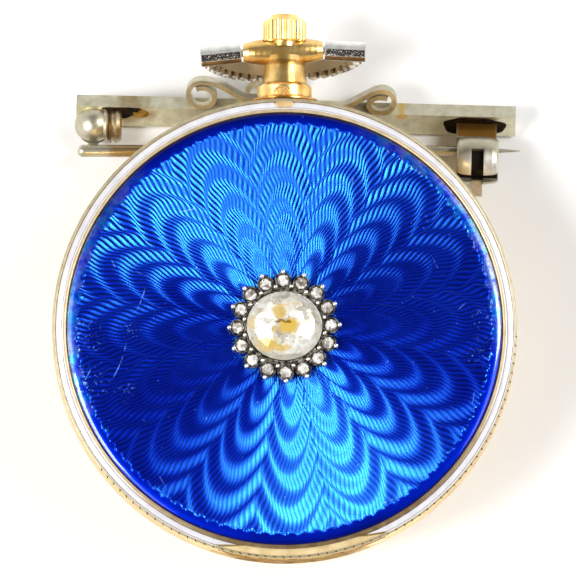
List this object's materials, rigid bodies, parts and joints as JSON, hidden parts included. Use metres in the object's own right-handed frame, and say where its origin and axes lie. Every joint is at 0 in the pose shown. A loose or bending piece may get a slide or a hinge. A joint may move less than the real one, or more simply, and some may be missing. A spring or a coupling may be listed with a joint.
{
  "type": "pendant watch on a bar brooch",
  "caption": "Ladies' pendant watch with an enamelled back and a stone cluster, hanging by its bow from a bar brooch.",
  "frame": {"origin": "centre of the flat table of the crystal, which the watch lies on", "axes": "+Z out of the enamelled back, +Y towards the crown, +X to the right of the back"},
  "size_m": [0.0303, 0.0358, 0.0102],
  "materials": {
    "gold": "polished yellow gold",
    "white_gold": "worn white gold",
    "blue_enamel": "translucent blue enamel over engine turning",
    "white_enamel": "opaque enamel",
    "diamond": "old rose-cut stones",
    "glass": "clear crystal",
    "dial_white": "vitreous enamel",
    "nickel": "gilt and nickel",
    "blued_steel": "heat blued",
    "steel": "turned"
  },
  "bodies": {
    "case": {"case_body": "gold", "bezel": "gold", "crystal": "glass", "dial": "dial_white", "movement": "nickel", "back_rim": "gold", "white_ring": "white_enamel", "enamel_disc": "blue_enamel", "stone_setting": "white_gold", "centre_stone": "diamond", "small_stone_01": "diamond", "small_stone_02": "diamond", "small_stone_03": "diamond", "small_stone_04": "diamond", "small_stone_05": "diamond", "small_stone_06": "diamond", "small_stone_07": "diamond", "small_stone_08": "diamond", "small_stone_09": "diamond", "small_stone_10": "diamond", "small_stone_11": "diamond", "small_stone_12": "diamond", "small_stone_13": "diamond", "small_stone_14": "diamond", "small_stone_15": "diamond", "small_stone_16": "diamond"},
    "stem": {"winding_stem": "steel"},
    "crown": {"crown": "gold"},
    "bow": {"bow": "white_gold", "bow_stone_01": "diamond", "bow_stone_02": "diamond", "bow_stone_03": "diamond", "bow_stone_04": "diamond", "bow_stone_05": "diamond", "bow_stone_06": "diamond", "bow_stone_07": "diamond", "bow_stone_08": "diamond", "bow_stone_09": "diamond", "bow_stone_10": "diamond", "bow_stone_11": "diamond", "bow_stone_12": "diamond", "bow_stone_13": "diamond", "bow_stone_14": "diamond", "brooch_bar": "white_gold", "hinge_rivet": "white_gold"},
    "pin": {"pin_stem": "white_gold"},
    "catch": {"catch_rotor": "white_gold"},
    "hour_hand": {"hour_hand": "blued_steel"},
    "minute_hand": {"minute_hand": "blued_steel"}
  },
  "joints": [
    {"name": "crown_pull", "type": "slide", "parent": "case", "child": "stem", "axis": [0, 1, 0], "range_m": [0, 0.0008]},
    {"name": "crown_turn", "type": "hinge", "parent": "stem", "child": "crown", "pos_m": [0, 0.0198, 0.006], "axis": [0, 1, 0], "continuous": true},
    {"name": "bow_swing", "type": "hinge", "parent": "case", "child": "bow", "pos_m": [-0.0001, 0.01836, 0.006], "axis": [0.9995, 0.0314, 0], "range_deg": [0, 180]},
    {"name": "pin_open", "type": "hinge", "parent": "bow", "child": "pin", "pos_m": [-0.01238, 0.01424, 0.0015], "axis": [-0.0116, -0.4225, -0.9063], "range_deg": [0, 60]},
    {"name": "catch_turn", "type": "hinge", "parent": "bow", "child": "catch", "pos_m": [0.01251, 0.01181, 0.0022], "axis": [-0.9996, 0.0275, 0], "range_deg": [0, 100]},
    {"name": "minute_hand_turn", "type": "hinge", "parent": "case", "child": "minute_hand", "pos_m": [0, 0, 0.0032], "axis": [0, 0, 1], "continuous": true},
    {"name": "hour_hand_turn", "type": "hinge", "parent": "case", "child": "hour_hand", "pos_m": [0, 0, 0.0037], "axis": [0, 0, 1], "continuous": true}
  ],
  "couplings": [
    {"joint": "hour_hand_turn", "follows": "minute_hand_turn", "ratio": 0.083333},
    {"joint": "pin_open", "follows": "bow_swing", "ratio": 0.33333}
  ]
}
